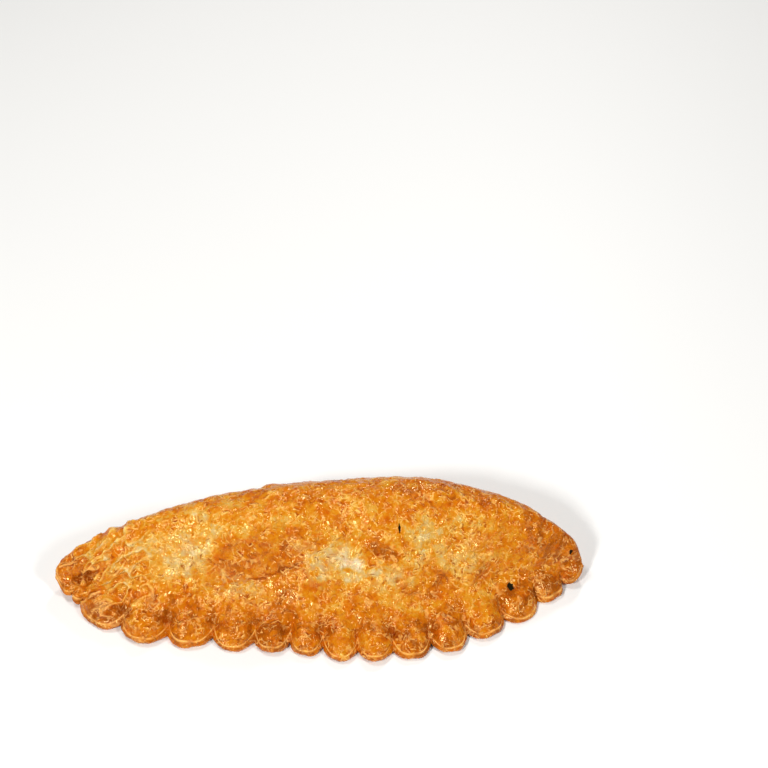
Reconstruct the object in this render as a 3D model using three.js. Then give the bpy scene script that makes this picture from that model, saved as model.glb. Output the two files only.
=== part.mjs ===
// A fried cheburek: a half-moon turnover of thin wheat dough, folded at the back, filled, and
// sealed in front along a crimped, scalloped seam. It lies on its flattened underside.
// Millimetres. +X runs along the fold, +Y from the seam to the fold, +Z up. The origin is the
// middle of the object's box, on the surface that it lies on.

import * as THREE from "three";

// Outlines in plan, from the left tip to the right tip

const seamLine = [
  [-81, 2.6], [-76.2, -1], [-60.5, -12.6], [-33, -18.3], [0, -22.1],
  [28, -21.9], [46.5, -16.9], [68.5, -3.5], [82, 8.5],
]; // the foot of the scallops
const foldLine = [
  [-81, 2.6], [-79.2, 6.6], [-70.5, 11.5], [-54, 16.3], [-30, 22.7], [0, 27.6],
  [30, 29.8], [52, 26.3], [70, 18.6], [79, 13.6], [82, 8.5],
]; // the rounded back, where the dough is folded

// Scallops of the seam, as wide as the presses of a hand, from left to right

const scallopWidths = [
  7.2, 3.7, 16.2, 15.2, 14, 12.9, 11, 10.3, 10.8, 10.8, 12.1, 12.2, 13.1, 13.1, 10.4, 8.4,
];
const scallopShifts = [
  0, 0, -0.4, 1, -0.5, -1, -1.6, -1.7, -0.1, 0.2, -0.7, -0.2, -1, -0.6, -2, 0.8,
]; // how far each lies further out or in than the seam line, by chance
const scallopReach = 3.6; // how far a full scallop stands out of the seam line
const fullScallop = 10; // narrower ones stand out less, in proportion
const archPower = 2.8; // 2 is a parabola, more is blunter
const notchBite = 0.15; // how far a notch cuts in behind the seam line, as a share of the reach
const scallopPuff = 2; // how far its top swells above the grooves beside it
const puffStart = 2; // from the edge to where the swelling is full
const puffFade = [0.1, 0.9]; // shares of the seam between which it fades
const tipLean = 1; // reach of the first and the last, which lean away from the tips
const scallopWave = 0.5; // how far neighbouring scallops stand above or below each other
const waveTurn = 2.3; // angle of the wave from one to the next, so that they don't alternate evenly

// The two sheets of dough at the seam

const rimHalf = 1.4; // half of their thickness at the edge
const rimRound = 1.2; // the edge's rounding
const rimSquareness = 4; // 2 is a round edge, more is squarer
const sealHalf = 2; // half of their thickness where the filling begins
const sealWidth = 11; // from the seam line to the filling
const sealShare = 0.34; // the same near the tips, as a share of the depth there
const sealSquareness = 0.7; // 1 runs in square to the seam line, 0 runs towards the fold

// The filled belly

const bellyTop = 19.5; // height above the seam's surface
const bellyUnder = 13; // depth below it, before the table flattens it
const footSoftness = 1.2; // how gently the belly rises from the seam
const bellyLean = 1.4; // above 1, the crest lies nearer to the fold
const edgeZ = 1.6; // middle of the seam's edge above the table
const foldZ = 12; // middle of the fold above the table
const foldSquareness = 6; // how late the two sheets run together at the fold
const tipZ = 5; // the two tips above the table
const tipRise = 0.07; // share of the length over which the seam's edge rises to a tip
const risePower = 1.5; // above 1, most of the rise is close to the tip
const tipRound = 0.07; // share of the length over which a tip is rounded off
const leftTaper = { power: 2, fullness: 0.75 };
const rightTaper = { power: 2.8, fullness: 0.72 };

// Lumps of filling and dents in the top: place in plan, half-sizes and height

const lumps = [
  { x: -20, y: 4, rx: 13, ry: 6, height: 2.6 },
  { x: -2, y: -5.5, rx: 9, ry: 4.5, height: 2.2 },
  { x: 21, y: 1, rx: 6, ry: 4, height: 1.4 },
  { x: -45, y: -6, rx: 9, ry: 5, height: 1.6 },
  { x: 48, y: -4, rx: 10, ry: 5, height: 1.7 },
  { x: -25, y: -4.5, rx: 9, ry: 4, height: -2.2 },
  { x: 8, y: 0, rx: 8, ry: 5, height: -2.2 },
  { x: 35, y: -6, rx: 6, ry: 4, height: -1.6 },
  { x: 40, y: 4, rx: 9, ry: 6, height: -1.4 },
  { x: -41, y: 4, rx: 8, ry: 6, height: -1.3 },
  { x: -73.5, y: -1.5, rx: 2.6, ry: 2.2, height: -2.2 }, // the tuck at the left tip
  { x: -70, y: 0.5, rx: 3, ry: 2.2, height: -2 },
];
const lumpStart = 6; // from the edge to where they have their full height
const lumpFade = 4; // how late they fade towards the fold

// Facets: steps along a scallop, and rows from the edge to the fold. A row below 1 is in the
// seam, and a row from 1 to 2 is in the belly.

const stepsPerScallop = 8;
const rimRows = [0.2, 1]; // the first rows, in millimetres from the edge
const rimShare = 0.2; // the most of a short seam that a millimetre of rim takes
const topRows = [0.3, 0.55, 0.78, 1, 1.1, 1.2, 1.32, 1.45, 1.59, 1.73, 1.85, 1.93, 1.98];
const underRows = [0.4, 0.7, 1, 1.15, 1.4, 1.7, 1.87, 1.97];

const curveDivisions = 1200; // steps in which a line's length is measured

const { smoothstep, lerp } = THREE.MathUtils;

function curveThrough(points) {
  const curve = new THREE.SplineCurve(points.map(([x, y]) => new THREE.Vector2(x, y)));
  curve.arcLengthDivisions = curveDivisions;
  return curve;
}

const seamCurve = curveThrough(seamLine);
const foldCurve = curveThrough(foldLine);

// The first and the last scallop lean away from the tips

function leanAt(scallop, phase) {
  if (scallop === 0) return tipLean * phase;
  if (scallop === scallopWidths.length - 1) return tipLean * (1 - phase);
  return 1;
}

// Shifts are carried evenly from the middle of one scallop to the middle of the next

function shiftAt(scallop, phase) {
  const other = phase < 0.5 ? scallop - 1 : scallop + 1;
  if (other < 0 || other === scallopWidths.length) return scallopShifts[scallop];
  const away = scallopWidths[scallop] * Math.abs(phase - 0.5);
  const apart = (scallopWidths[scallop] + scallopWidths[other]) / 2;
  return lerp(scallopShifts[scallop], scallopShifts[other], away / apart);
}

// Places along the seam: the share of its length, how high each lies on the arch of its scallop,
// and how far it stands out of the seam line. The steps are closer beside the notches.

function seamPlaces() {
  const total = scallopWidths.reduce((sum, width) => sum + width, 0);
  const places = [];
  let start = 0;
  scallopWidths.forEach((width, scallop) => {
    const fullReach = scallopReach * Math.min(1, width / fullScallop);
    for (let step = 0; step < stepsPerScallop; step++) {
      const phase = (1 - Math.cos((Math.PI * step) / stepsPerScallop)) / 2;
      const lean = leanAt(scallop, phase);
      const arch = (1 - Math.abs(2 * phase - 1) ** archPower) * lean;
      const reach = fullReach * lerp(-notchBite * lean, 1, arch) + shiftAt(scallop, phase);
      places.push({ share: (start + width * phase) / total, arch, reach, scallop });
    }
    start += width;
  });
  return places.slice(1); // the first is the left tip itself
}

function tipTaper(share) {
  const { power, fullness } = share < 0.5 ? leftTaper : rightTaper;
  return (1 - Math.abs(2 * share - 1) ** power) ** fullness;
}

// One section across the turnover: its scalloped edge, where the filling begins, and the fold

function sectionAt({ share, arch, reach, scallop }) {
  const root = seamCurve.getPointAt(share);
  const along = seamCurve.getTangentAt(share);
  const outward = new THREE.Vector2(along.y, -along.x);
  const fold = foldCurve.getPointAt(share);
  const span = root.distanceTo(fold);
  const seal = Math.min(sealWidth / span, sealShare);
  const inward = fold.clone().sub(root).normalize();
  inward.lerp(outward.clone().negate(), sealSquareness).normalize();
  const toTip = Math.min(share, 1 - share);
  const taper = tipTaper(share);
  const rise = Math.max(0, 1 - toTip / tipRise) ** risePower;
  const frontZ = lerp(edgeZ, tipZ, rise);
  const backZ = lerp(tipZ, foldZ, taper);
  return {
    edge: root.clone().addScaledVector(outward, reach),
    foot: root.clone().addScaledVector(inward, span * seal),
    fold,
    arch,
    taper,
    roundOff: Math.sqrt(1 - (1 - Math.min(1, toTip / tipRound)) ** 2),
    wave: scallopWave * Math.sin(waveTurn * scallop) * arch,
    frontZ,
    footZ: lerp(frontZ, backZ, seal),
    backZ,
  };
}

// Height of the belly across it: soft at its foot, upright at the fold, and plainly round at the tips

function bellyShare(across, taper) {
  const leant = across ** lerp(1, bellyLean, taper);
  const round = 2 * Math.sqrt(leant * (1 - leant));
  return taper * round ** (1 + footSoftness * taper * (1 - leant) ** 2);
}

function lumpsAt(x, y) {
  return lumps.reduce((sum, lump) => {
    const away = ((x - lump.x) / lump.rx) ** 2 + ((y - lump.y) / lump.ry) ** 2;
    return sum + lump.height * Math.exp(-away);
  }, 0);
}

// A point of the surface. side is 1 on top and -1 underneath.

function surfacePoint(section, row, side) {
  const { edge, foot, fold, arch, taper, roundOff, wave, frontZ, footZ, backZ } = section;
  const inSeam = Math.min(row, 1);
  const inBelly = Math.max(row - 1, 0);
  const plan = edge.clone().lerp(foot, inSeam).lerp(fold, inBelly);
  const run = edge.distanceTo(foot) * inSeam;
  const rim = (1 - (1 - Math.min(1, run / rimRound)) ** rimSquareness) ** (1 / rimSquareness);
  const closing = Math.sqrt(1 - inBelly ** foldSquareness);
  const half = lerp(rimHalf, sealHalf, inSeam) * rim * roundOff * closing;
  const nearEdge = 1 - smoothstep(inSeam, ...puffFade);
  const seam = lerp(lerp(frontZ, footZ, inSeam), backZ, inBelly) + wave * nearEdge * roundOff;
  const belly = bellyShare(inBelly, taper);
  if (side < 0) return new THREE.Vector3(plan.x, plan.y, Math.max(0, seam - half - bellyUnder * belly));
  const puff = scallopPuff * arch * nearEdge * smoothstep(run, 0, puffStart) * roundOff;
  const lumpShare = smoothstep(run, 0, lumpStart) * Math.sqrt(1 - inBelly ** lumpFade);
  const lump = lumpsAt(plan.x, plan.y) * lumpShare;
  return new THREE.Vector3(plan.x, plan.y, seam + half + bellyTop * belly + puff + lump);
}

// The ring of points round one section: edge, top, fold, underside

function ringAt(section) {
  const seamRun = section.edge.distanceTo(section.foot);
  const rim = rimRows.map((run) => Math.min(run / seamRun, run * rimShare));
  const top = [...rim, ...topRows].map((row) => surfacePoint(section, row, 1));
  const under = [...rim, ...underRows].map((row) => surfacePoint(section, row, -1));
  return [surfacePoint(section, 0, 1), ...top, surfacePoint(section, 2, 1), ...under.reverse()];
}

// Rings joined by quads, with a point at each tip to close the ends

function crustGeometry() {
  const rings = seamPlaces().map((place) => ringAt(sectionAt(place)));
  const ringSize = rings[0].length;
  const leftTip = new THREE.Vector3(...seamLine[0], tipZ);
  const rightTip = new THREE.Vector3(...seamLine[seamLine.length - 1], tipZ);
  const points = [...rings.flat(), leftTip, rightTip];
  const left = points.length - 2;
  const right = points.length - 1;
  const last = (rings.length - 1) * ringSize;
  const faces = [];
  for (let i = 0; i < ringSize; i++) {
    const next = (i + 1) % ringSize;
    faces.push(left, i, next);
    faces.push(right, last + next, last + i);
    for (let ring = 0; ring < rings.length - 1; ring++) {
      const here = ring * ringSize;
      const there = here + ringSize;
      faces.push(here + i, there + i, there + next);
      faces.push(here + i, there + next, here + next);
    }
  }
  const geometry = new THREE.BufferGeometry().setFromPoints(points);
  geometry.setIndex(faces);
  geometry.computeBoundingBox();
  const { min, max } = geometry.boundingBox;
  geometry.translate(-(min.x + max.x) / 2, -(min.y + max.y) / 2, -min.z);
  geometry.computeVertexNormals();
  return geometry;
}

const friedDough = new THREE.MeshStandardMaterial({ color: 0xde8f34, roughness: 0.5, metalness: 0 });
const crust = new THREE.Mesh(crustGeometry(), friedDough);
crust.name = "cheburek";

const cheburek = new THREE.Group();
cheburek.add(crust);

export default cheburek;
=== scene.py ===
import math
import bpy
import numpy as np
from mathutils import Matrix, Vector, kdtree, noise


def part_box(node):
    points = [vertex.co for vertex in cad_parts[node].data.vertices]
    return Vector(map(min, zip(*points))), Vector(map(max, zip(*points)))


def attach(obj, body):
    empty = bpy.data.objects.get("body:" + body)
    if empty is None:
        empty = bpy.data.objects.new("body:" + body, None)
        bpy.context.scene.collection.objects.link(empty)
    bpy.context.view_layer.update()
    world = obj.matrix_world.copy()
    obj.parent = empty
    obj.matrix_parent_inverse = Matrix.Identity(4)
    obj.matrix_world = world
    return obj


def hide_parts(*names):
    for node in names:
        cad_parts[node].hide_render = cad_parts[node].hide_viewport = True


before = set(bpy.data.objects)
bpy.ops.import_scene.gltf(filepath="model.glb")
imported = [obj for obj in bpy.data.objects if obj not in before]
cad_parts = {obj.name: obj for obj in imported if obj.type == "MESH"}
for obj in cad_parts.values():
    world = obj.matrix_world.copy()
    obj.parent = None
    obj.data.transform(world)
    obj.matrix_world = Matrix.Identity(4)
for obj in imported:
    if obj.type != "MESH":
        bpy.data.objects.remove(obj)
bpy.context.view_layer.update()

# A fried cheburek on a pale table. Sizes are in millimetres until a mesh is made.
# +X runs along the fold, +Y from the scalloped seam to the fold, +Z up.

mm = 0.001


def ease(x, low, high):
    t = np.clip((x - low) / (high - low), 0, 1)
    return t * t * (3 - 2 * t)


def mix(a, b, t):
    return a + (b - a) * t


def bell(x, width):
    return np.exp(-(x / width) ** 2)


# The crust's form. Outlines, belly and scallops have the solid's own sizes; the lips, grooves and
# pleats are finer than the solid shows.
crust = {
    "seamLine": [(-81, 2.6), (-76.2, -1), (-60.5, -12.6), (-33, -18.3), (0, -22.1),
                 (28, -21.9), (46.5, -16.9), (68.5, -3.5), (82, 8.5)],
    "foldLine": [(-81, 2.6), (-79.2, 6.6), (-70.5, 11.5), (-54, 16.3), (-30, 22.7), (0, 27.6),
                 (30, 29.8), (52, 26.3), (70, 18.6), (79, 13.6), (82, 8.5)],
    "scallopWidths": [7.2, 3.7, 16.2, 15.2, 14, 12.9, 11, 10.3,
                      10.8, 10.8, 12.1, 12.2, 13.1, 13.1, 10.4, 8.4],
    # how far each stands further out or in than the seam line, by chance
    "scallopShifts": [0, 0, -0.4, 1.0, -0.5, -1.0, -1.6, -1.7,
                      -0.1, 0.2, -0.7, -0.2, -1.0, -0.6, -2.0, 0.8],
    # how thick the edge of each is, as a share of the full thickness
    "edgeShares": [0.8, 0.8, 1, 1, 1, 1, 1, 1, 1, 1, 1, 0.95, 0.8, 0.65, 0.6, 0.6],
    "scallopReach": 3.6,
    "notchBite": 0.15,          # how far a notch cuts in behind the seam line, as a share of the reach
    "archPower": 2.8,           # 2 is a parabola, more is blunter
    "archFade": (0.05, 0.55),   # the part of the sealed band over which the scallops' outline evens out
    "meanArch": 0.75,           # how far a scallop stands out on average
    "fullScallop": 10,          # narrower scallops stand out less
    "tipLean": 1.0,             # the first and the last scallop lean away from the tips
    "scallopPuff": 2.2,
    "puffStart": 0.5,           # behind the lip
    "puffWay": 4.5,             # how far behind its start a scallop is at full height
    "puffEnd": (0.3, 1.0),      # the part of the sealed band over which it sinks again
    "lobeFade": (3.5, 9.5),     # behind the edge, one scallop runs into the next
    "meanLobe": 0.64,
    "scallopWave": 0.5,
    "waveTurn": 2.3,            # radians from one scallop's wave to the next one's
    "waveFade": (3, 9),
    "rimHalf": 1.4,             # half the thickness of the two sheets at the edge
    "sealHalf": 2.0,            # half the thickness where the filling begins
    "sealWidth": 11.0,
    "sealShare": 0.34,
    "squareness": 0.7,          # how far the sealed band runs in square to the seam, instead of to the fold
    "fullSeam": 8,              # where the band is narrower, its details shrink
    "bellyTop": 19.5,
    "bellyUnder": 13.0,
    "bellyDepth": 38,           # from the band to the fold, in the middle
    "footSoftness": 1.2,
    "footSoftening": (5.0, 160, 0.5),   # how far from the foot, rounds, share of the way in each
    "bellyLean": 1.4,
    "foldRounding": 6,          # the higher, the later the crust thins towards the fold
    "edgeZ": 1.6,
    "foldZ": 12.0,
    "tipZ": 5.0,
    "tipRise": 0.07,            # share of the seam over which the edge rises to a tip
    "tipCurve": 1.5,
    "tipRound": 0.07,
    "leftTaper": (2.0, 0.75),
    "rightTaper": (2.8, 0.72),
    # lumps and dents of the top: x, y, half-sizes, height
    "lumps": [(-20, 4, 13, 6, 2.6), (-2, -5.5, 9, 4.5, 2.2), (21, 1, 6, 4, 1.4), (-45, -6, 9, 5, 1.6),
              (48, -4, 10, 5, 1.7), (-25, -4.5, 9, 4, -2.2), (8, 0, 8, 5, -2.2), (35, -6, 6, 4, -1.6),
              (40, 4, 9, 6, -1.4), (-41, 4, 8, 6, -1.3), (-73.5, -1.5, 2.6, 2.2, -2.2),
              (-70, 0.5, 3, 2.2, -2)],
    "lumpStart": (0, 6),        # they begin behind the edge
    "lumpRounding": 4,          # and end at the fold
    # the groove between two scallops, below their own slope
    "grooveDepth": 0.4,
    "grooveWidth": 1.0,
    "grooveStart": (-0.5, 0.8),
    "grooveEnd": (2.5, 8),
    # the soft hollow that runs on from it up the belly, except where the edge is thin
    "pleatDepth": 1.1,
    "pleatWidth": 2.2,
    "pleatStart": (2, 6),
    "pleatEnd": (7, 14),
    "pleatThickness": (0.65, 1),
    # the edges of the two sheets: share of the ledge or way in from it, half thickness there
    "ledgeWidth": (0.35, 2.6),  # how far the lower sheet shows, at a scallop's middle and at a notch
    "ledgePower": 4.2,
    "lowerLedge": [(0, 0.0), (0.2, 0.18), (0.5, 0.36), (0.8, 0.5), (0.95, 0.56)],
    "upperLip": [(0.0, 0.64), (0.07, 0.78), (0.17, 0.87), (0.3, 0.88), (0.45, 0.83), (0.7, 0.8),
                 (1.05, 0.86), (1.5, 1.0)],
    "underEdge": [(0.05, 0.45), (0.2, 0.9), (0.5, 1.2), (1.0, 1.4)],
    "lipEnd": 0.25,             # share of the band over which the lip runs out
    "thinEnd": 0.6,             # share of the band over which a thin edge gets its full thickness
    # mesh: steps along the seam, rows over the sealed band and the belly, top and underside
    "steps": 430,
    "fewestSteps": 6,           # for a scallop
    "crowding": 0.7,            # how far the steps crowd at the notches
    "bandRows": 30,
    "bandCrowding": 1.15,       # more than 1 crowds the rows at the edge
    "bellyRows": 126,
    "underBandRows": 12,
    "underBellyRows": 30,
}


def lineTable(points, samples=3000):
    # a smooth line through the points, listed by the share of its length
    p = np.array([points[0], *points, points[-1]], float)
    spans = len(points) - 1
    u = np.linspace(0, spans, samples)
    i = np.minimum(u.astype(int), spans - 1)
    f = (u - i)[:, None]
    a, b, c, d = p[i], p[i + 1], p[i + 2], p[i + 3]
    xy = b + 0.5 * ((c - a) * f + (2 * a - 5 * b + 4 * c - d) * f ** 2 + (3 * b - a - 3 * c + d) * f ** 3)
    run = np.concatenate([[0], np.cumsum(np.hypot(*np.diff(xy, axis=0).T))])
    return run / run[-1], xy


def onLine(table, share):
    return np.stack([np.interp(share, table[0], table[1][:, k]) for k in (0, 1)], -1)


def unit(vectors):
    return vectors / np.linalg.norm(vectors, axis=-1, keepdims=True)


seamTable = lineTable(crust["seamLine"])
foldTable = lineTable(crust["foldLine"])


def seamSteps():
    # scallop number and two phases per step: even, and crowded at the notches
    widths = np.array(crust["scallopWidths"])
    counts = np.round(crust["steps"] * widths / widths.sum())
    counts = np.maximum(crust["fewestSteps"], counts).astype(int)
    scallop = np.repeat(np.arange(len(widths)), counts)
    even = np.concatenate([np.arange(n) / n for n in counts])
    crowded = mix(even, (1 - np.cos(math.pi * even)) / 2, crust["crowding"])
    return scallop[1:], even[1:], crowded[1:]


def bellyProfile(across, taper):
    leant = across ** mix(1, crust["bellyLean"], taper)
    height = 2 * np.sqrt(np.clip(leant * (1 - leant), 0, None))
    return taper * height ** (1 + crust["footSoftness"] * taper * (1 - leant) ** 2)


def lumpsAt(x, y):
    return sum(h * np.exp(-((x - a) / rx) ** 2 - ((y - b) / ry) ** 2) for a, b, rx, ry, h in crust["lumps"])


def sections(scallop, phase, evenOut):
    # everything that a section across the turnover needs, for arrays of places along the seam
    widths = np.array(crust["scallopWidths"])
    starts = np.concatenate([[0], np.cumsum(widths)[:-1]])
    middles = (starts + widths / 2) / widths.sum()
    share = (starts[scallop] + widths[scallop] * phase) / widths.sum()
    lean = np.where(scallop == 0, crust["tipLean"] * phase, 1.0)
    lean = np.where(scallop == len(widths) - 1, crust["tipLean"] * (1 - phase), lean)
    arch = (1 - np.abs(2 * phase - 1) ** crust["archPower"]) * lean
    arch = mix(arch, crust["meanArch"] * lean, evenOut)
    root = onLine(seamTable, share)
    nudge = 1e-3    # share of the seam, on either side, that gives its direction
    along = unit(onLine(seamTable, share + nudge) - onLine(seamTable, share - nudge))
    outward = np.stack([along[..., 1], -along[..., 0]], -1)
    reach = crust["scallopReach"] * np.minimum(1, widths[scallop] / crust["fullScallop"])
    reach = reach * mix(-crust["notchBite"] * lean, 1, arch)
    reach += np.interp(share, middles, crust["scallopShifts"])
    fold = onLine(foldTable, share)
    across = fold - root
    depth = np.linalg.norm(across, axis=-1, keepdims=True)
    seal = np.minimum(crust["sealWidth"] / depth[..., 0], crust["sealShare"])
    inward = unit(mix(across / depth, -outward, crust["squareness"]))
    tapers = zip(crust["leftTaper"], crust["rightTaper"])
    power, fullness = [np.where(share < 0.5, left, right) for left, right in tapers]
    taper = (1 - np.abs(2 * share - 1) ** power) ** fullness
    toTip = np.minimum(share, 1 - share)
    rise = np.maximum(0, 1 - toTip / crust["tipRise"]) ** crust["tipCurve"]
    frontZ = mix(crust["edgeZ"], crust["tipZ"], rise)
    backZ = mix(crust["tipZ"], crust["foldZ"], taper)
    wave = crust["scallopWave"] * np.sin(crust["waveTurn"] * scallop) * np.sin(math.pi * phase) ** 2
    return {
        "edge": root + outward * reach[..., None],
        "foot": root + inward * depth * seal[..., None],
        "fold": fold,
        "taper": taper,
        "roundOff": np.sqrt(1 - (1 - np.minimum(1, toTip / crust["tipRound"])) ** 2),
        "wave": wave,
        "edgeShare": np.interp(share, middles, crust["edgeShares"]),
        "frontZ": frontZ,
        "footZ": mix(frontZ, backZ, seal),
        "backZ": backZ,
    }


def surface(s, run, seamRun, inBelly, side, half, puff, sink):
    inSeam = np.minimum(run / seamRun, 1)
    plan = mix(mix(s["edge"], s["foot"], inSeam[..., None]), s["fold"], inBelly[..., None])
    half = half * s["roundOff"] * np.sqrt(1 - inBelly ** crust["foldRounding"])
    wave = s["wave"] * (1 - ease(run, *crust["waveFade"])) * s["roundOff"]
    seam = mix(mix(s["frontZ"], s["footZ"], inSeam), s["backZ"], inBelly) + wave - sink
    belly = bellyProfile(inBelly, s["taper"])
    lump = lumpsAt(plan[..., 0], plan[..., 1]) * ease(run, *crust["lumpStart"])
    lump = lump * np.sqrt(1 - inBelly ** crust["lumpRounding"])
    top = seam + half + crust["bellyTop"] * belly + puff * s["roundOff"] + lump
    under = np.maximum(0, seam - half - crust["bellyUnder"] * belly)
    return np.concatenate([plan, np.where(side > 0, top, under)[..., None]], -1)


def evenRows(count, height, samples=2001):
    # rows across the belly, evenly spaced over the arc of its middle section
    across = np.linspace(0, 1, samples)
    z = height * bellyProfile(across, 1.0)
    arc = np.concatenate([[0], np.cumsum(np.hypot(np.diff(across) * crust["bellyDepth"], np.diff(z)))])
    return np.interp(np.linspace(0, arc[-1], count + 1)[1:], arc, across)


def rowPlan():
    # a row: share of the ledge, way behind the upper edge, share of the band, share of the belly,
    # side, half thickness
    lipWay, lipHalf = crust["upperLip"][-1]
    underWay = crust["underEdge"][-1][0]
    bandShares = (np.arange(1, crust["bandRows"] + 1) / crust["bandRows"]) ** crust["bandCrowding"]
    underShares = np.arange(1, crust["underBandRows"] + 1) / crust["underBandRows"]
    topBelly = evenRows(crust["bellyRows"], crust["bellyTop"] + crust["foldZ"] / 2)
    underBelly = evenRows(crust["underBellyRows"], crust["foldZ"] / 2)[:-1]
    top = [(share, 0, 0, 0, 1, half) for share, half in crust["lowerLedge"]]
    top += [(1, way, 0, 0, 1, half) for way, half in crust["upperLip"]]
    top += [(1, lipWay, share, 0, 1, lipHalf) for share in bandShares]
    top += [(1, lipWay, 1, across, 1, crust["sealHalf"]) for across in topBelly]
    under = [(0, way, 0, 0, -1, half) for way, half in crust["underEdge"]]
    under += [(0, underWay, share, 0, -1, crust["rimHalf"]) for share in underShares]
    under += [(0, underWay, 1, across, -1, crust["sealHalf"]) for across in underBelly]
    return np.array(top + under[::-1], float).T


def softenFoot(place, side, fromFoot):
    # rounds the hollow where the belly rises from the sealed band
    reach, rounds, share = crust["footSoftening"]
    weight = np.where(side > 0, bell(fromFoot, reach), 0)[:, 1:-1, None] * share
    for _ in range(rounds):
        between = (place[:, :-2] + place[:, 2:]) / 2
        place[:, 1:-1] += weight * (between - place[:, 1:-1])
    return place


def crustGrid():
    scallop, even, crowded = seamSteps()
    ledge, way, band, inBelly, side, half = rowPlan()
    shape = (len(scallop), len(ledge))
    scallop = np.broadcast_to(scallop[:, None], shape)
    inBelly = np.broadcast_to(inBelly, shape)
    side = np.broadcast_to(side, shape)
    phase = mix(crowded[:, None], even[:, None], ease(band, 0, 1)[None, :])
    s = sections(scallop, phase, ease(band, *crust["archFade"])[None, :])
    seamRun = np.linalg.norm(s["foot"] - s["edge"], axis=-1)
    fit = np.minimum(1, seamRun / crust["fullSeam"])
    edgeWay = mix(*crust["ledgeWidth"], np.abs(2 * phase - 1) ** crust["ledgePower"]) * fit * s["edgeShare"]
    run = mix(ledge * edgeWay + way * fit, seamRun, band)
    inSeam = run / seamRun
    half = half + (crust["sealHalf"] - half) * ease(inSeam, 0, 1) * ease(band, 0, crust["lipEnd"])
    half = half * mix(s["edgeShare"], 1, ease(band, 0, crust["thinEnd"]))
    sink = crust["rimHalf"] * (1 - s["edgeShare"]) * (1 - ease(inSeam, 0, crust["thinEnd"]))
    behind = np.where(side > 0, run - edgeWay, 0)
    lobe = mix(np.sin(math.pi * phase), crust["meanLobe"], ease(run, *crust["lobeFade"]))
    swell = 1 - (1 - np.clip((behind - crust["puffStart"]) / crust["puffWay"], 0, 1)) ** 2
    puff = crust["scallopPuff"] * lobe * swell * (1 - ease(inSeam, *crust["puffEnd"])) * fit
    fromNotch = np.minimum(phase, 1 - phase) * np.array(crust["scallopWidths"])[scallop]
    groove = bell(fromNotch, crust["grooveWidth"]) * ease(behind, *crust["grooveStart"])
    groove = crust["grooveDepth"] * groove * (1 - ease(run, *crust["grooveEnd"])) * fit
    pleat = bell(fromNotch, crust["pleatWidth"]) * ease(run, *crust["pleatStart"]) * (side > 0)
    pleat = crust["pleatDepth"] * pleat * (1 - ease(run, *crust["pleatEnd"])) * fit
    pleat = pleat * ease(s["edgeShare"], *crust["pleatThickness"])
    place = surface(s, run, seamRun, inBelly, side, half, puff - groove, sink)
    span = np.linalg.norm(s["fold"] - s["foot"], axis=-1)
    place = softenFoot(place, side, run - seamRun + inBelly * span)
    facts = {"run": run, "behind": behind, "side": side, "inBelly": inBelly, "groove": groove, "pleat": pleat}
    return place, facts


def gridFaces(steps, rows, leftTip, rightTip):
    # quads between neighbouring rings, and a fan at each tip
    i, j = np.meshgrid(np.arange(steps - 1), np.arange(rows), indexing="ij")
    nextRow = (j + 1) % rows
    corners = [i * rows + j, (i + 1) * rows + j, (i + 1) * rows + nextRow, i * rows + nextRow]
    quads = np.stack(corners, -1).reshape(-1, 4).tolist()
    last = (steps - 1) * rows
    pairs = [(k, (k + 1) % rows) for k in range(rows)]
    leftFan = [(leftTip, a, b) for a, b in pairs]
    rightFan = [(rightTip, last + b, last + a) for a, b in pairs]
    return [tuple(q) for q in quads] + leftFan + rightFan


def closeTips(values, left, right):
    return np.concatenate([values.reshape(-1, *values.shape[2:]), [left], [right]])


place, facts = crustGrid()
steps, rows = place.shape[:2]
tips = [(*crust["seamLine"][end], crust["tipZ"]) for end in (0, -1)]
points = closeTips(place, *tips)
facts = {name: closeTips(value, value[0, 0], value[-1, 0]) for name, value in facts.items()}
nodeLow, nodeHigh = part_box("cheburek")
middle = (np.array(nodeLow) + np.array(nodeHigh)) / 2 / mm
planShift = (middle - (points.min(0) + points.max(0)) / 2) * (1, 1, 0)
faces = gridFaces(steps, rows, steps * rows, steps * rows + 1)
crustMesh = bpy.data.meshes.new("crust")
crustMesh.from_pydata(((points + planShift) * mm).tolist(), [], faces)
crustMesh.update()
print("form:", len(points), "points,", len(crustMesh.loop_triangles), "triangles, shift", planShift.round(3))


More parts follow.
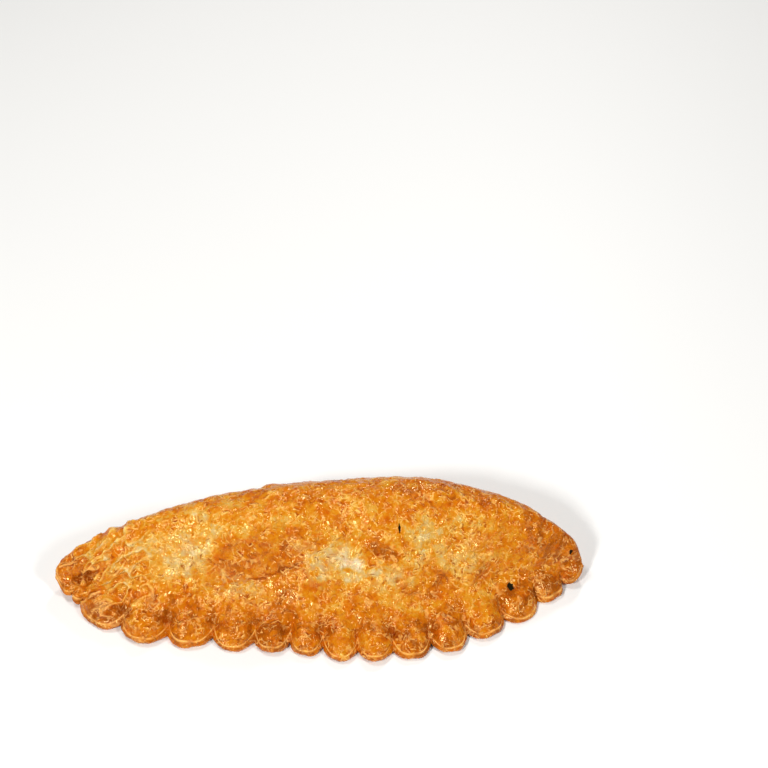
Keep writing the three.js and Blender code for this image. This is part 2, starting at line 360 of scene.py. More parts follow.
# Relief of the fried surface, in millimetres along the normal. Places on top are given by x and
# by how far up the slope they lie, both in millimetres.
relief = {
    "seed": 7,
    "slope": (0.775, 0.632),        # share of y and of z in the distance up the slope
    # height, size, and a shift that sets one noise apart from the others
    "swell": (0.7, 11.0, 3.1),      # soft waves
    "ripple": (0.5, 4.0, 8.7),      # small ripples
    "wrinkle": (0.25, 2.3, 5.3),    # fine curled wrinkles
    "wrinkleWidth": 0.2,            # as a part of the noise that draws them
    "wrinkleFade": (9.2, 1.9),      # size and shift of the noise that breaks them up
    "wrinkleBreaks": (-0.3, 0.2),
    "bubbles": [                    # number, radius range, height as a share of the radius
        (380, 1.8, 3.8, 0.28),
        (2600, 0.9, 1.9, 0.36),
        (5000, 0.6, 1.0, 0.5),
    ],
    "bubbleScatter": (0.6, 1.15),   # how unlike in height
    "domePower": 0.8,
    "bubblePatches": (9, 17.2),     # they gather in patches: size, shift
    "patchEdge": (-0.35, 0.35),
    "bubbleShares": (0.45, 1.1),    # between the patches and in them
    # the wrinkled left end: folds that run slantwise, with pale crests, paler partly as painted glints
    "leftEnd": (-46, -58),          # from x, full at x
    "folds": (1.4, 3.4, 40.2),      # height, spacing, shift
    "foldTurn": 28,                 # which way they run, in degrees up from +X
    "foldStretch": 2.4,             # how drawn out they are
    "foldWaver": (2.0, 1.2),        # along and across
    "ridgeWidth": 0.25,
    "ridgePower": 1.5,
    "crestWidth": 0.035,
    "crestBreaks": (-0.4, 0.2),
    # thin raised threads of dough there: x, slope of both ends
    "threads": [(-79.1, 8.4, -74.5, 10.5), (-72.0, 7.3, -66.2, 8.8), (-67.7, 11.0, -63.1, 13.4),
                (-70.4, 7.6, -64.6, 12.2), (-65.9, 5.3, -63.9, 8.8), (-72.0, -3.1, -66.5, 1.2),
                (-67.7, -4.6, -64.6, -2.8), (-57.8, 14.0, -57.0, 10.0), (-53.7, 3.0, -51.2, 3.0),
                (-61.6, 6.4, -58.2, 10.0), (-50.9, 3.3, -49.4, -0.6), (-63.0, 1.0, -60.5, 4.5)],
    "threadSize": (0.5, 0.3),       # height and half-width
    "waver": 1.2,                   # how far these lines stray
    "hollow": (-71.2, 4.6, 4.4, 1.5, 1.8),      # the pocket beside the left tip, depth last
    # overhanging folds: both ends, height of the step, reach on either side
    "overhangs": [(-20.5, 4.2, -4.0, 9.9, 1.2, 3.5), (-75.2, 4.4, -68.4, 6.9, 1.6, 2.5)],
    "overhangEdge": 0.35,
    "overhangStart": (-1.5, 1.5),
    "overhangEnd": (-2.5, 1.0),
    "crease": (0.5, 0.8),           # along their undersides: depth, half-width
    # dark pinholes, the last only a small dark dent at the right tip: x, slope, half-sizes, depth
    "pinholes": [(25.2, 20.3, 0.42, 2.1, 0.7), (59.5, 2.3, 0.85, 1.5, 0.7),
                 (38.0, 0.9, 0.5, 0.35, 0.4), (78.4, 13.4, 0.8, 0.8, 0.4)],
    "pinholeEdge": (0.25, 0.75),
    "pinholeReach": 2,              # times their half-size, at most
    "lipPlace": (0.22, 0.2),        # the upper sheet's lip, painted paler partly as a glint: way behind its edge, half-width
    "lipShares": (0.4, 1.2),
    "lipBreaks": (-0.35, 0.25),
    # where the relief is lower: from, full at, share of it that stays
    "edgeCalm": (1.2, 0.2, 0.3),    # behind the edge
    "seamCalm": (10, 3, 0.75),      # over the sealed band
    "foldCalm": (0.6, 0.9, 0.6),    # towards the fold, in shares of the belly
    "noseCalm": (-72, -78, 0.45),   # at the left tip, in x
    "rightCalm": (46, 66, 0.65),    # towards the right tip, in x
    "underShare": 0.6,
    "underRise": 0.35,              # the underside's skin, above the spots that touch the table
    "touching": 0.01,
}


def vertexNormals(mesh):
    normals = np.empty(len(mesh.vertices) * 3)
    mesh.vertices.foreach_get("normal", normals)
    return normals.reshape(-1, 3)


def vertexAreas(mesh):
    # a share of the faces round each point
    area = np.empty(len(mesh.polygons))
    mesh.polygons.foreach_get("area", area)
    total = np.zeros(len(mesh.vertices))
    for face, size in zip(faces, area):
        for v in face:
            total[v] += size / len(face)
    return total / mm ** 2


def noiseField(at, size, shift):
    return np.array([noise.noise((x / size + shift, y / size, z / size)) for x, y, z in at])


def bubbleField(at, area, draw):
    # domes on random places; where they meet, the higher one shows
    tree = kdtree.KDTree(len(at))
    for i, p in enumerate(at):
        tree.insert(p, i)
    tree.balance()
    height = np.zeros(len(at))
    chance = np.cumsum(area / area.sum())
    for count, small, large, rise in relief["bubbles"]:
        centres = np.searchsorted(chance, draw.random(count))
        radii = small + (large - small) * draw.random(count) ** 2
        heights = radii * rise * draw.uniform(*relief["bubbleScatter"], count)
        for c, radius, top in zip(centres, radii, heights):
            for _, i, away in tree.find_range(at[c], radius):
                dome = top * (1 - (away / radius) ** 2) ** relief["domePower"]
                height[i] = max(height[i], dome)
    return height


def patch(x, up, spot):
    # a soft spot round a place on top
    cx, cu, rx, ru = spot[:4]
    return np.exp(-((x - cx) / rx) ** 2 - ((up - cu) / ru) ** 2)


def burnt(x, up, spot):
    # the same, kept to the neighbourhood of its middle where the crust is steep
    soft = np.where(onTop, patch(x, up, spot), 0)
    away = np.linalg.norm(points - points[np.argmax(soft)], axis=1)
    return soft * bell(away, relief["pinholeReach"] * max(spot[2:4]))


def toSegment(x, up, ends):
    x0, u0, x1, u1 = ends
    dx, du = x1 - x0, u1 - u0
    t = np.clip(((x - x0) * dx + (up - u0) * du) / (dx * dx + du * du), 0, 1)
    return np.hypot(x - x0 - t * dx, up - u0 - t * du)


def stepOver(x, up, ends, reach):
    # higher above the line than below it, and level again further off
    x0, u0, x1, u1 = ends
    length = math.hypot(x1 - x0, u1 - u0)
    along = ((x - x0) * (x1 - x0) + (up - u0) * (u1 - u0)) / length
    across = ((up - u0) * (x1 - x0) - (x - x0) * (u1 - u0)) / length
    inside = ease(along, *relief["overhangStart"])
    inside = inside * (1 - ease(along - length, *relief["overhangEnd"]))
    return 0.5 * np.tanh(across / relief["overhangEdge"]) * bell(across, reach) * inside


def calm(name, way):
    start, full, share = relief[name]
    return mix(1, share, ease(way, start, full))


draw = np.random.default_rng(relief["seed"])
normals = vertexNormals(crustMesh)
areas = vertexAreas(crustMesh)
onTop = facts["side"] > 0
upSlope = points[:, 1] * relief["slope"][0] + points[:, 2] * relief["slope"][1]
swell, ripple, curl = [noiseField(points, *relief[name][1:]) for name in ("swell", "ripple", "wrinkle")]
fade = noiseField(points, *relief["wrinkleFade"])
wrinkle = np.clip(1 - np.abs(curl) / relief["wrinkleWidth"], 0, 1) * ease(fade, *relief["wrinkleBreaks"])
inPatch = ease(noiseField(points, *relief["bubblePatches"]), *relief["patchEdge"])
bubbles = bubbleField(points, areas, draw) * mix(*relief["bubbleShares"], inPatch)

# the left end's folds, and where their crests are
foldHeight, foldSpacing, foldShift = relief["folds"]
foldCos, foldSin = math.cos(math.radians(relief["foldTurn"])), math.sin(math.radians(relief["foldTurn"]))
foldAlong = points[:, 0] * foldCos + upSlope * foldSin + relief["foldWaver"][0] * ripple
foldAcross = upSlope * foldCos - points[:, 0] * foldSin + relief["foldWaver"][1] * curl
foldPlace = np.stack([foldAlong / relief["foldStretch"], foldAcross, np.zeros(len(points))], -1)
crossing = np.abs(noiseField(foldPlace, foldSpacing, foldShift))
atLeft = np.where(onTop, ease(points[:, 0], *relief["leftEnd"]), 0)
ridges = np.clip(1 - crossing / relief["ridgeWidth"], 0, 1) ** relief["ridgePower"]
crests = bell(crossing, relief["crestWidth"]) * ease(fade, *relief["crestBreaks"]) * atLeft

# single lines and spots
lineX = points[:, 0] + relief["waver"] * ripple
lineUp = upSlope + relief["waver"] * curl
threadHeight, threadWidth = relief["threadSize"]
fromThread = np.min([toSegment(lineX, lineUp, ends) for ends in relief["threads"]], axis=0)
thread = np.where(onTop, bell(fromThread, threadWidth), 0)
stepUp = sum(height * stepOver(lineX, lineUp, ends, reach) for *ends, height, reach in relief["overhangs"])
creaseDepth, creaseWidth = relief["crease"]
crease = sum(bell(toSegment(lineX, lineUp, ends), creaseWidth) for *ends, _, _ in relief["overhangs"])
hollow = relief["hollow"][4] * patch(lineX, lineUp, relief["hollow"])
scorches = [burnt(lineX, lineUp, spot) for spot in relief["pinholes"]]
depths = [spot[4] for spot in relief["pinholes"]]
pinhole = sum(depth * ease(soft, *relief["pinholeEdge"]) for depth, soft in zip(depths, scorches))
lipWay, lipWidth = relief["lipPlace"]
lipRise = mix(*relief["lipShares"], ease(curl, *relief["lipBreaks"]))
lip = np.where(onTop, bell(facts["behind"] - lipWay, lipWidth) * lipRise, 0)

rough = relief["swell"][0] * swell + relief["ripple"][0] * ripple + relief["wrinkle"][0] * wrinkle
rough = rough + foldHeight * ridges * atLeft + bubbles
topShare = calm("edgeCalm", facts["behind"]) * calm("seamCalm", facts["run"])
topShare = topShare * calm("foldCalm", facts["inBelly"])
rough = rough * np.where(onTop, topShare, relief["underShare"])
rough = rough * calm("noseCalm", points[:, 0]) * calm("rightCalm", points[:, 0])
lift = rough + threadHeight * thread + np.where(onTop, stepUp - hollow - creaseDepth * crease, 0)
lift = lift - pinhole - facts["pleat"]
fried = points + normals * lift[:, None]
skin = np.where(points[:, 2] < relief["touching"], relief["underRise"], 0)
fried[:, 2] = np.maximum(0, fried[:, 2] + skin)
crustMesh.vertices.foreach_set("co", ((fried + planShift) * mm).ravel())
crustMesh.update()
crustMesh.polygons.foreach_set("use_smooth", np.ones(len(crustMesh.polygons), bool))
print("relief: lift from", lift.min().round(2), "to", lift.max().round(2), "mm")


# Fried wheat dough: blistered in hot fat, so thin bubbles and wrinkles catch small glints of oil.
# Raised spots toast from golden to amber, dents and the dough over the filling stay pale.
# Some shade and glints are also painted into the colour, as marked below.
friedDough = {
    "plainToast": 0.49,
    # spots that differ from the plain toast, some of them painted shade as marked: x, slope, half-sizes,
    # amount
    "spots": [
        # the left end; the second is painted shade inside the pocket beside the tip
        (-79.0, 4.0, 4.0, 6.0, 0.12), (-71.0, 5.0, 4.0, 1.1, 0.35), (-70.0, 12.5, 7.0, 4.0, -0.2),
        (-63.0, 4.0, 9.0, 7.0, -0.34), (-58.5, 10.5, 8.0, 5.0, -0.2), (-64.0, -5.0, 6.0, 4.5, 0.36),
        (-66.0, 16.0, 9.0, 4.5, -0.14),
        # over the filling, left of the brown hill
        (-49.0, 15.5, 6.0, 5.0, -0.3), (-37.5, 12.8, 7.0, 8.0, -0.44), (-44.2, 6.1, 7.5, 4.5, -0.2),
        (-43.0, 0.9, 6.0, 4.0, 0.2), (-29.0, 21.8, 11.0, 5.0, -0.3), (-12.0, 23.0, 12.0, 5.0, -0.16),
        # the brown hill, the pale dough under it and the sealed band there; the second, a brown hollow beside
        # the hill, is partly painted shade
        (-20.0, 13.5, 12.0, 7.0, 0.1), (-23.5, 9.8, 5.0, 4.5, 0.14), (-22.9, 3.0, 7.0, 4.0, -0.24),
        (-12.5, -3.0, 5.5, 7.5, 0.15),
        # the pale middle and the brown blisters beside it; the fourth, a brown hollow under a ridge, is
        # partly painted shade
        (6.5, 10.8, 9.5, 6.5, -0.56), (10.0, 8.5, 4.0, 3.6, -0.42), (21.5, 5.6, 7.0, 3.6, -0.38),
        (19.6, 12.6, 6.0, 3.8, 0.4), (24.0, 0.5, 5.0, 4.5, -0.3), (34.5, 1.5, 7.0, 4.5, 0.32),
        (20.0, -6.4, 7.0, 4.0, 0.16), (8.0, -13.5, 11.0, 4.0, -0.24),
        # right of the middle; the last darkens the right end as painted shade, on the side away from the
        # light
        (31.0, 16.5, 6.5, 6.0, -0.4), (42.0, 12.5, 9.0, 7.0, -0.32), (40.0, 22.5, 11.0, 5.5, -0.22),
        (51.0, -3.0, 6.0, 5.0, -0.26), (66.5, 9.5, 5.5, 5.0, -0.2), (74.0, 11.0, 13.0, 13.0, 0.16),
        # along the fold: painted shade, darker where the crust turns away from the light
        (18.0, 32.0, 34.0, 4.5, 0.05), (42.0, 30.0, 18.0, 6.0, 0.16),
    ],
    # where the dough is so thin that the filling dulls it
    "thinSpots": [(3.0, 10.8, 8.0, 5.4, 0.75), (-24.0, 2.6, 8.0, 4.0, 0.6), (-40.0, 11.5, 7.0, 6.5, 0.5),
                  (44.0, 12.0, 8.0, 6.0, 0.3), (22.0, 5.0, 6.0, 3.5, 0.5)],
    "spotWaver": (3.5, 2.5, 1.5),   # how far their outlines stray, by coarse and by finer noise
    "waverAlong": (5.0, 12.3),      # the coarse noise along x: size, shift
    "waverUp": [(5.0, 20.6), (3.0, 27.4), (1.6, 31.7)],     # all three up the slope
    # what the form adds to the toast: a crisper seam, and painted shade and light where marked
    "seamToast": (0.31, 5, 17),     # the thin seam is crisper: amount, full to, out at
    "noseToast": (-64, -79, 0.6),   # less so at the left tip: from x, full at x, share
    "bubblePaleAndHighlight": (-0.05, 0.4),    # bubble tops paler, partly their own colour and partly painted highlight: amount, for a bubble of this height
    # painted shade along the undersides of the overhanging folds
    "creasePaintedShade": 0.4,
    "threadPaintedShade": (0.22, 0.65, 0.35),      # painted shade beside the threads: amount, way, half-width
    # painted shade in the left end's hollows and painted light on its ridges: amount, middle level, from and
    # full at behind the edge
    "foldPaintedShading": (0.45, 0.3, 3, 7),
    # painted shade in the pleats that run up from the notches, and in the grooves between scallops
    "pleatPaintedShade": 0.17,
    "groovePaintedShade": 0.12,
    "ledgeToastAndShade": (0.12, -0.3, 0.1),        # darker where the lower sheet shows under the lip, partly browning and partly painted shade: amount, full to, out at, behind the edge of the upper sheet
    "raisedPaleAndGlint": 0.9,                 # the lips, the threads and the crests are paler, partly their own colour and partly painted glints, as the shreds are
    # toast to colour
    "colours": [(-0.5, "#f0e0ba"), (-0.2, "#e0c690"), (0.0, "#d4b06c"), (0.16, "#d8a448"), (0.34, "#d99122"),
                (0.5, "#d37f0c"), (0.72, "#c96b06"), (0.9, "#b35b06"), (1.0, "#a04e05")],
    # uneven toasting: size in mm, amount, detail
    "mottle": (6.0, 0.46, 3.0),
    "speckle": (2.6, 0.3, 2.0),
    "grain": (0.9, 0.2, 1.0),
    "warp": (2.0, 1.1),             # bends the small patterns: size, reach in mm
    # blisters too small for the mesh: spacing, height in mm, how unlike in tone
    "facets": [(2.4, 0.1, 0.34), (1.0, 0.11, 0.22)],
    "facetSoftness": 0.3,
    # curled shreds of skin, pale partly as painted glints, and, last, short creases browned as painted shade;
    # in life the shreds are half as wide, which wouldn't show: spacing, longest, half-width, height in mm,
    # how pale, how brown
    "shreds": [(2.6, 2.5, 0.34, 0.16, 1.0, 0), (2.0, 1.9, 0.32, 0.14, 1.0, 0), (1.4, 1.1, 0.26, 0.1, 1.0, 0),
               (2.4, 2.4, 0.3, -0.08, 0, 0.25)],
    "shredShift": 0.37,             # sets each pattern apart from the last
    "shredEnds": (0.3, 0.5),        # shares of the length between which a shred runs out
    "shredChance": (0.45, 0.65),    # a cell below has none, above a full one
    "creaseShade": ("#c48c44", 0.95, 1.3),  # along one side of a shred: tint, share, way in half-widths
    "borders": (0.26, 0.08, 0.8, 2.2),      # between blisters, pale partly as painted glints: half-width, height, how pale, length in mm
    "curls": (2.6, 0.26, 0.06, 0.65, 2.0),  # thin wrinkles, pale partly as painted glints: size, half-width, height, how pale, length in mm
    "noiseSlope": 1.2,              # how fast a noise changes over its own size
    "lineBreaks": (0.5, 0.6),
    # shreds gather in places, and over thin dough: size in mm, from, full at, least, for thin dough
    "gathering": (5.0, 0.4, 0.58, 0.08, 1.3),
    "shredAndGlintColour": "#efac60",       # pale shreds and painted glints, laid over the dough's own colour
    "thinColour": "#c69e68",
    "thinPatches": (1.5, 0.44, 0.58),       # size in mm, from, full at
    # blotches that fried redder: tint, size in mm, share, from, full at
    "flush": ("#ffcf9a", 3.2, 0.42, 0.52, 0.64),
    "scorch": "#0c0502",
    "scorchEdge": (0.8, 0.8, 0.78, 0.93),   # how ragged it is: size in mm, amount, from, full at
    "oilFilm": (4.0, 0.3, 0.7),     # how the oil lies: size in mm, from, full at
    "roughness": (0.12, 0.3),       # where it lies thick and thin
    "oilIor": 1.45,
    "oilGloss": 0.58,
    "oilTint": "#ffe09c",           # glints pick up the warm fat
    "glow": (0.2, 0.7),             # light that seeps through the thin skin: share, depth in mm
    "glowColours": (1.0, 0.4, 0.12),        # red goes deepest
}


def linear(code):
    parts = [int(code[i:i + 2], 16) / 255 for i in (1, 3, 5)]
    return (*[c / 12.92 if c <= 0.04045 else ((c + 0.055) / 1.055) ** 2.4 for c in parts], 1)


def addNode(kind, settings, inputs):
    # an input that is another node's output is linked, any other is set on its socket
    node = doughTree.nodes.new("ShaderNode" + kind)
    for name, value in settings.items():
        setattr(node, name, value)
    for name, value in inputs.items():
        if isinstance(value, bpy.types.NodeSocket):
            doughTree.links.new(value, node.inputs[name])
        else:
            node.inputs[name].default_value = value
    return node


def keep(mesh, name, values):
    mesh.attributes.new(name, "FLOAT", "POINT").data.foreach_set("value", values.astype(np.float32))


coarse, finer, finest = friedDough["spotWaver"]
spotX = points[:, 0] + coarse * noiseField(points, *friedDough["waverAlong"]) + finer * ripple + finest * curl
waversUp = zip(friedDough["spotWaver"], friedDough["waverUp"])
spotUp = upSlope + sum(reach * noiseField(points, *field) for reach, field in waversUp)


def spotted(spots):
    return np.where(onTop, sum(s[4] * ease(patch(spotX, spotUp, s), 0, 1) for s in spots), 0)


toastAndShading = friedDough["plainToast"] + spotted(friedDough["spots"])
amount, fullTo, outAt = friedDough["seamToast"]
noseFrom, noseFull, noseShare = friedDough["noseToast"]
atNose = ease(points[:, 0], noseFrom, noseFull)
toastAndShading += amount * (1 - ease(facts["run"], fullTo, outAt)) * mix(1, noseShare, atNose)
# bubble tops paler, partly as a painted highlight
amount, fullHeight = friedDough["bubblePaleAndHighlight"]
toastAndShading += amount * np.clip(bubbles / fullHeight, 0, 1)
# the ledge under the lip darker, partly painted shade
amount, fullTo, outAt = friedDough["ledgeToastAndShade"]
toastAndShading += amount * np.where(onTop, 1 - ease(facts["behind"], fullTo, outAt), 0)
# painted shade beside the raised threads
amount, way, width = friedDough["threadPaintedShade"]
toastAndShading += amount * np.where(onTop, bell(fromThread - way, width), 0)
# painted shade in the left end's fold hollows, painted light on their ridges
amount, level, outAt, fullTo = friedDough["foldPaintedShading"]
toastAndShading += amount * (level - ridges) * atLeft * ease(facts["run"], outAt, fullTo)
# painted shade under the overhangs
toastAndShading += friedDough["creasePaintedShade"] * np.where(onTop, crease, 0)
# painted shade in the grooves and pleats
toastAndShading += friedDough["groovePaintedShade"] * facts["groove"] / crust["grooveDepth"]
toastAndShading += friedDough["pleatPaintedShade"] * facts["pleat"] / crust["pleatDepth"]
# one attribute: browning, with the painted shade and light above added in
keep(crustMesh, "toastAndShading", toastAndShading)
# pale lips, threads and crests, partly painted glints
keep(crustMesh, "pale", friedDough["raisedPaleAndGlint"] * np.maximum(np.maximum(lip, thread), crests))
keep(crustMesh, "thin", spotted(friedDough["thinSpots"]))
keep(crustMesh, "scorch", np.max(scorches, axis=0))

doughMaterial = bpy.data.materials.new("friedWheatDough")
doughMaterial.use_nodes = True
doughTree = doughMaterial.node_tree
shader = doughTree.nodes["Principled BSDF"]
softly = {"interpolation_type": "SMOOTHSTEP"}
times, timesPlus, highest = [{"operation": name} for name in ("MULTIPLY", "MULTIPLY_ADD", "MAXIMUM")]
onCrust = addNode("TexCoord", {}, {}).outputs["Object"]
kept = [addNode("Attribute", {"attribute_name": name}, {}) for name in ("toastAndShading", "pale", "thin", "scorch")]
toastAndShadingLevel, lipShare, thinShare, scorchShare = [node.outputs["Fac"] for node in kept]
warpSize, warpReach = friedDough["warp"]
warp = addNode("TexNoise", {}, {"Vector": onCrust, "Scale": 1 / (warpSize * mm), "Detail": 1.0})
warped = addNode("VectorMath", timesPlus, {0: warp.outputs["Color"], 1: (warpReach * mm,) * 3, 2: onCrust})
warped = warped.outputs["Vector"]


def brokenLine(away, halfWidth, length):
    # a line where a value comes near 0, broken into short pieces by a noise
    breakFrom, breakFull = friedDough["lineBreaks"]
    line = addNode("MapRange", softly, {"Value": away, "From Max": halfWidth, "To Min": 1.0, "To Max": 0.0})
    breaks = addNode("TexNoise", {}, {"Vector": onCrust, "Scale": 1 / (length * mm), "Detail": 1.0})
    breaks = addNode("MapRange", {}, {"Value": breaks.outputs["Fac"],
                                      "From Min": breakFrom, "From Max": breakFull})
    return addNode("Math", times, {0: line.outputs[0], 1: breaks.outputs[0]}).outputs[0]


# blisters: each its own tone, and domed
height = 0.0
for spacing, rise, unlike in friedDough["facets"]:
    scale = 1 / (spacing * mm)
    domes = addNode("TexVoronoi", {"feature": "SMOOTH_F1"},
                    {"Vector": warped, "Scale": scale, "Smoothness": friedDough["facetSoftness"]})
    height = addNode("Math", timesPlus, {0: domes.outputs["Distance"], 1: -rise, 2: height}).outputs[0]
    tone = addNode("TexVoronoi", {}, {"Vector": warped, "Scale": scale}).outputs["Color"]
    toastAndShadingLevel = addNode("Math", timesPlus, {0: tone, 1: unlike, 2: toastAndShadingLevel}).outputs[0]

# shreds: each cell of a random pattern holds one at most, which lies any way; they are paler partly as
# painted glints, with painted shade along one side
palerAndGlint = 0.0
shaded = 0.0
endFrom, endFull = friedDough["shredEnds"]
chanceFrom, chanceFull = friedDough["shredChance"]
shade, shadeShare, shadeWay = friedDough["creaseShade"]
for number, (spacing, length, halfWidth, rise, pale, brown) in enumerate(friedDough["shreds"]):
    shift = (friedDough["shredShift"] * number,) * 3
    shifted = addNode("VectorMath", {"operation": "ADD"}, {0: warped, 1: shift}).outputs["Vector"]
    cells = addNode("TexVoronoi", {}, {"Vector": shifted, "Scale": 1 / (spacing * mm)})
    fromMiddle = addNode("VectorMath", {"operation": "SUBTRACT"}, {0: shifted, 1: cells.outputs["Position"]})
    anyWay = addNode("VectorMath", {"operation": "SUBTRACT"}, {0: cells.outputs["Color"], 1: (0.5, 0.5, 0.5)})
    anyWay = addNode("VectorMath", {"operation": "NORMALIZE"}, {0: anyWay.outputs["Vector"]})
    across = addNode("VectorMath", {"operation": "DOT_PRODUCT"},
                     {0: fromMiddle.outputs["Vector"], 1: anyWay.outputs["Vector"]}).outputs["Value"]
    cellLength = length / spacing
    ends = addNode("MapRange", softly, {"Value": cells.outputs["Distance"], "From Min": endFrom * cellLength,
                                        "From Max": endFull * cellLength, "To Min": 1.0, "To Max": 0.0})
    strength = addNode("MapRange", {}, {"Value": cells.outputs["Color"],
                                        "From Min": chanceFrom, "From Max": chanceFull})
    strength = addNode("Math", times, {0: ends.outputs[0], 1: strength.outputs[0]}).outputs[0]
    lines = []
    for way in (0.0, shadeWay * halfWidth * mm):
        away = addNode("Math", {"operation": "SUBTRACT"}, {0: across, 1: way}).outputs[0]
        away = addNode("Math", {"operation": "ABSOLUTE"}, {0: away}).outputs[0]
        line = addNode("MapRange", softly, {"Value": away, "From Max": halfWidth * mm,
                                            "To Min": 1.0, "To Max": 0.0})
        lines.append(addNode("Math", times, {0: line.outputs[0], 1: strength}).outputs[0])
    shred, beside = lines
    height = addNode("Math", timesPlus, {0: shred, 1: rise, 2: height}).outputs[0]
    toastAndShadingLevel = addNode("Math", timesPlus, {0: shred, 1: brown, 2: toastAndShadingLevel}).outputs[0]
    shaded = addNode("Math", highest, {0: beside, 1: shaded}).outputs[0]
    shred = addNode("Math", times, {0: shred, 1: pale}).outputs[0]
    palerAndGlint = addNode("Math", highest, {0: shred, 1: palerAndGlint}).outputs[0]

# thin raised lines: the blisters' borders, and curled wrinkles, paler partly as painted glints
borderHalf, borderRise, borderPale, borderLength = friedDough["borders"]
borderSize = friedDough["facets"][0][0]
border = addNode("TexVoronoi", {"feature": "DISTANCE_TO_EDGE"},
                 {"Vector": warped, "Scale": 1 / (borderSize * mm)})
border = brokenLine(border.outputs["Distance"], borderHalf / borderSize, borderLength)
curlSize, curlHalf, curlRise, curlPale, curlLength = friedDough["curls"]
curled = addNode("TexNoise", {}, {"Vector": warped, "Scale": 1 / (curlSize * mm), "Detail": 0.0})
curled = addNode("Math", {"operation": "SUBTRACT"}, {0: curled.outputs["Fac"], 1: 0.5}).outputs[0]
curled = addNode("Math", {"operation": "ABSOLUTE"}, {0: curled}).outputs[0]
curled = brokenLine(curled, friedDough["noiseSlope"] * curlHalf / curlSize, curlLength)
for line, rise, pale in ((border, borderRise, borderPale), (curled, curlRise, curlPale)):
    height = addNode("Math", timesPlus, {0: line, 1: rise, 2: height}).outputs[0]
    line = addNode("Math", times, {0: line, 1: pale}).outputs[0]
    palerAndGlint = addNode("Math", highest, {0: palerAndGlint, 1: line}).outputs[0]

gatherSize, gatherFrom, gatherFull, gatherLeast, gatherThin = friedDough["gathering"]
gathered = addNode("TexNoise", {}, {"Vector": onCrust, "Scale": 1 / (gatherSize * mm), "Detail": 2.0})
gathered = addNode("MapRange", {}, {"Value": gathered.outputs["Fac"], "From Min": gatherFrom,
                                    "From Max": gatherFull, "To Min": gatherLeast})
gathered = addNode("Math", {**timesPlus, "use_clamp": True},
                   {0: thinShare, 1: gatherThin, 2: gathered.outputs[0]}).outputs[0]
palerAndGlint = addNode("Math", times, {0: palerAndGlint, 1: gathered}).outputs[0]
palerAndGlint = addNode("Math", highest, {0: palerAndGlint, 1: lipShare}).outputs[0]
shaded = addNode("Math", times, {0: shaded, 1: gathered}).outputs[0]
shaded = addNode("Math", times, {0: shaded, 1: shadeShare}).outputs[0]

# toast to colour
average = sum(unlike for _, _, unlike in friedDough["facets"]) / 2
for size, amount, detail in (friedDough[name] for name in ("mottle", "speckle", "grain")):
    field = addNode("TexNoise", {}, {"Vector": onCrust, "Scale": 1 / (size * mm), "Detail": detail})
    toastAndShadingLevel = addNode("Math", timesPlus, {0: field.outputs["Fac"], 1: 2 * amount, 2: toastAndShadingLevel})
    toastAndShadingLevel = toastAndShadingLevel.outputs[0]
    average += amount
palest = friedDough["colours"][0][0]
toastAndShadingLevel = addNode("MapRange", {}, {"Value": toastAndShadingLevel,
                                      "From Min": average + palest, "From Max": average + 1})
ramp = addNode("ValToRGB", {}, {"Fac": toastAndShadingLevel.outputs[0]})
stops = ramp.color_ramp.elements
while len(stops) < len(friedDough["colours"]):
    stops.new(0.5)
for stop, (at, code) in zip(stops, friedDough["colours"]):
    stop.position = (at - palest) / (1 - palest)
    stop.color = linear(code)

# over it: dull thin dough, redder blotches, the painted shade beside shreds, the shreds with their painted
# glints, scorch
thinSize, thinFrom, thinFull = friedDough["thinPatches"]
dulled = addNode("TexNoise", {}, {"Vector": warped, "Scale": 1 / (thinSize * mm), "Detail": 2.0})
dulled = addNode("MapRange", {}, {"Value": dulled.outputs["Fac"], "From Min": thinFrom, "From Max": thinFull})
dulled = addNode("Math", times, {0: dulled.outputs[0], 1: thinShare}).outputs[0]
flushTint, flushSize, flushShare, flushFrom, flushFull = friedDough["flush"]
flush = addNode("TexNoise", {}, {"Vector": warped, "Scale": 1 / (flushSize * mm), "Detail": 2.0})
flush = addNode("MapRange", softly, {"Value": flush.outputs["Fac"], "From Min": flushFrom,
                                     "From Max": flushFull, "To Max": flushShare}).outputs[0]
raggedSize, raggedness, scorchFrom, scorchFull = friedDough["scorchEdge"]
ragged = addNode("TexNoise", {}, {"Vector": onCrust, "Scale": 1 / (raggedSize * mm), "Detail": 2.0})
ragged = addNode("Math", timesPlus, {0: ragged.outputs["Fac"], 1: raggedness, 2: scorchShare}).outputs[0]
scorched = addNode("MapRange", softly, {"Value": ragged, "From Min": scorchFrom, "From Max": scorchFull})
scorched = scorched.outputs[0]
colour = ramp.outputs["Color"]
for blend, code, share in (("MIX", friedDough["thinColour"], dulled), ("MULTIPLY", flushTint, flush),
                           ("MULTIPLY", shade, shaded), ("SCREEN", friedDough["shredAndGlintColour"], palerAndGlint),
                           ("MIX", friedDough["scorch"], scorched)):
    layer = addNode("Mix", {"data_type": "RGBA", "blend_type": blend}, {0: share, 6: colour, 7: linear(code)})
    colour = layer.outputs[2]

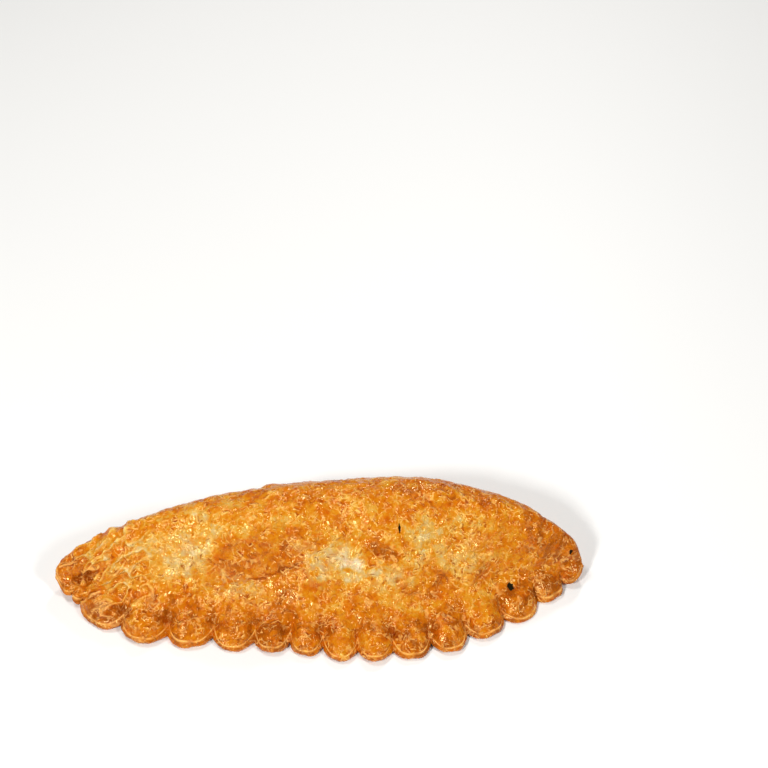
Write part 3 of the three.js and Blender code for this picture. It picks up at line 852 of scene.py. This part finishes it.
oilSize, oilFrom, oilFull = friedDough["oilFilm"]
oily, dry = friedDough["roughness"]
oil = addNode("TexNoise", {}, {"Vector": onCrust, "Scale": 1 / (oilSize * mm), "Detail": 2.0})
oil = addNode("MapRange", {}, {"Value": oil.outputs["Fac"], "From Min": oilFrom, "From Max": oilFull,
                               "To Min": oily, "To Max": dry})
oil = addNode("Math", highest, {0: oil.outputs[0], 1: scorched}).outputs[0]
normal = addNode("Bump", {}, {"Height": height, "Strength": 1.0, "Distance": mm}).outputs["Normal"]
for name, socket in (("Base Color", colour), ("Roughness", oil), ("Normal", normal)):
    doughTree.links.new(socket, shader.inputs[name])
shader.inputs["IOR"].default_value = friedDough["oilIor"]
shader.inputs["Specular IOR Level"].default_value = friedDough["oilGloss"]
shader.inputs["Specular Tint"].default_value = linear(friedDough["oilTint"])
shader.inputs["Subsurface Weight"].default_value = friedDough["glow"][0]
shader.inputs["Subsurface Scale"].default_value = friedDough["glow"][1] * mm
shader.inputs["Subsurface Radius"].default_value = friedDough["glowColours"]

crustPiece = bpy.data.objects.new("crust", crustMesh)
bpy.context.scene.collection.objects.link(crustPiece)
crustMesh.materials.append(doughMaterial)
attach(crustPiece, "root")
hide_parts("cheburek")
print("dough: toast from", toastAndShading.min().round(2), "to", toastAndShading.max().round(2))

# The table top: pale laminate, pressed smooth, so it is even and has a faint sheen
tableTop = {"colour": "#f4f3f0", "size": 4.0}
halfSize = tableTop["size"] / 2
corners = [(x * halfSize, y * halfSize, 0) for x, y in ((-1, -1), (1, -1), (1, 1), (-1, 1))]
floorMesh = bpy.data.meshes.new("tableTop")
floorMesh.from_pydata(corners, [], [(0, 1, 2, 3)])
floorMaterial = bpy.data.materials.new("paleLaminate")
floorMaterial.use_nodes = True
floorShader = floorMaterial.node_tree.nodes["Principled BSDF"]
floorShader.inputs["Base Color"].default_value = linear(tableTop["colour"])
floorMesh.materials.append(floorMaterial)
floor = bpy.data.objects.new("tableTop", floorMesh)
bpy.context.scene.collection.objects.link(floor)

# Soft studio light from four sides
studio = {
    "sky": 0.15,
    "skyColour": "#ffffff",
    "lamps": [  # name, place in metres, width, watts
        ("key", (-0.3, -0.46, 0.5), 0.1, 3.4),
        ("fill", (0.45, -0.3, 0.5), 0.1, 1.9),
        ("top", (-0.25, 0.2, 0.7), 0.16, 1.7),
        ("back", (0.1, 0.5, 0.45), 0.06, 1.0),
    ],
}
world = bpy.data.worlds.new("studio")
world.use_nodes = True
world.node_tree.nodes["Background"].inputs["Color"].default_value = linear(studio["skyColour"])
world.node_tree.nodes["Background"].inputs["Strength"].default_value = studio["sky"]
bpy.context.scene.world = world
for name, at, width, watts in studio["lamps"]:
    lamp = bpy.data.lights.new(name, "AREA")
    lamp.size = width
    lamp.energy = watts
    lampPiece = bpy.data.objects.new(name, lamp)
    lampPiece.location = at
    lampPiece.rotation_euler = (-Vector(at)).to_track_quat("-Z", "Y").to_euler()
    bpy.context.scene.collection.objects.link(lampPiece)
bpy.context.scene.view_settings.view_transform = "Standard"
print("light:", len(studio["lamps"]), "lamps")

# The camera looks down at 45 degrees, with the turnover low and to the left in the picture
photoView = {
    "lens": 85.0,
    "pitch": 45.0,
    "side": 768,
    "sensor": 36.0,
    "distance": 552.6,              # along the view, to the point below
    "point": (0.0, 0.0, 12.0),      # in the outline's own plan, mm
    "pixel": (317, 570),            # where that point shows in the picture
}
camera = bpy.data.cameras.new("camera")
camera.lens = photoView["lens"]
camera.sensor_width = photoView["sensor"]
cameraPiece = bpy.data.objects.new("camera", camera)
bpy.context.scene.collection.objects.link(cameraPiece)
cameraPiece.rotation_euler = (math.radians(photoView["pitch"]), 0, 0)
perPixel = photoView["sensor"] / photoView["lens"] / photoView["side"] * photoView["distance"]
aside = (photoView["side"] / 2 - photoView["pixel"][0]) * perPixel
above = (photoView["pixel"][1] - photoView["side"] / 2) * perPixel
aim = cameraPiece.rotation_euler.to_matrix()
eye = Vector(photoView["point"]) + Vector(planShift) + aim @ Vector((aside, above, photoView["distance"]))
cameraPiece.location = eye * mm
bpy.context.scene.camera = cameraPiece
print("camera at", [round(v, 4) for v in cameraPiece.location])
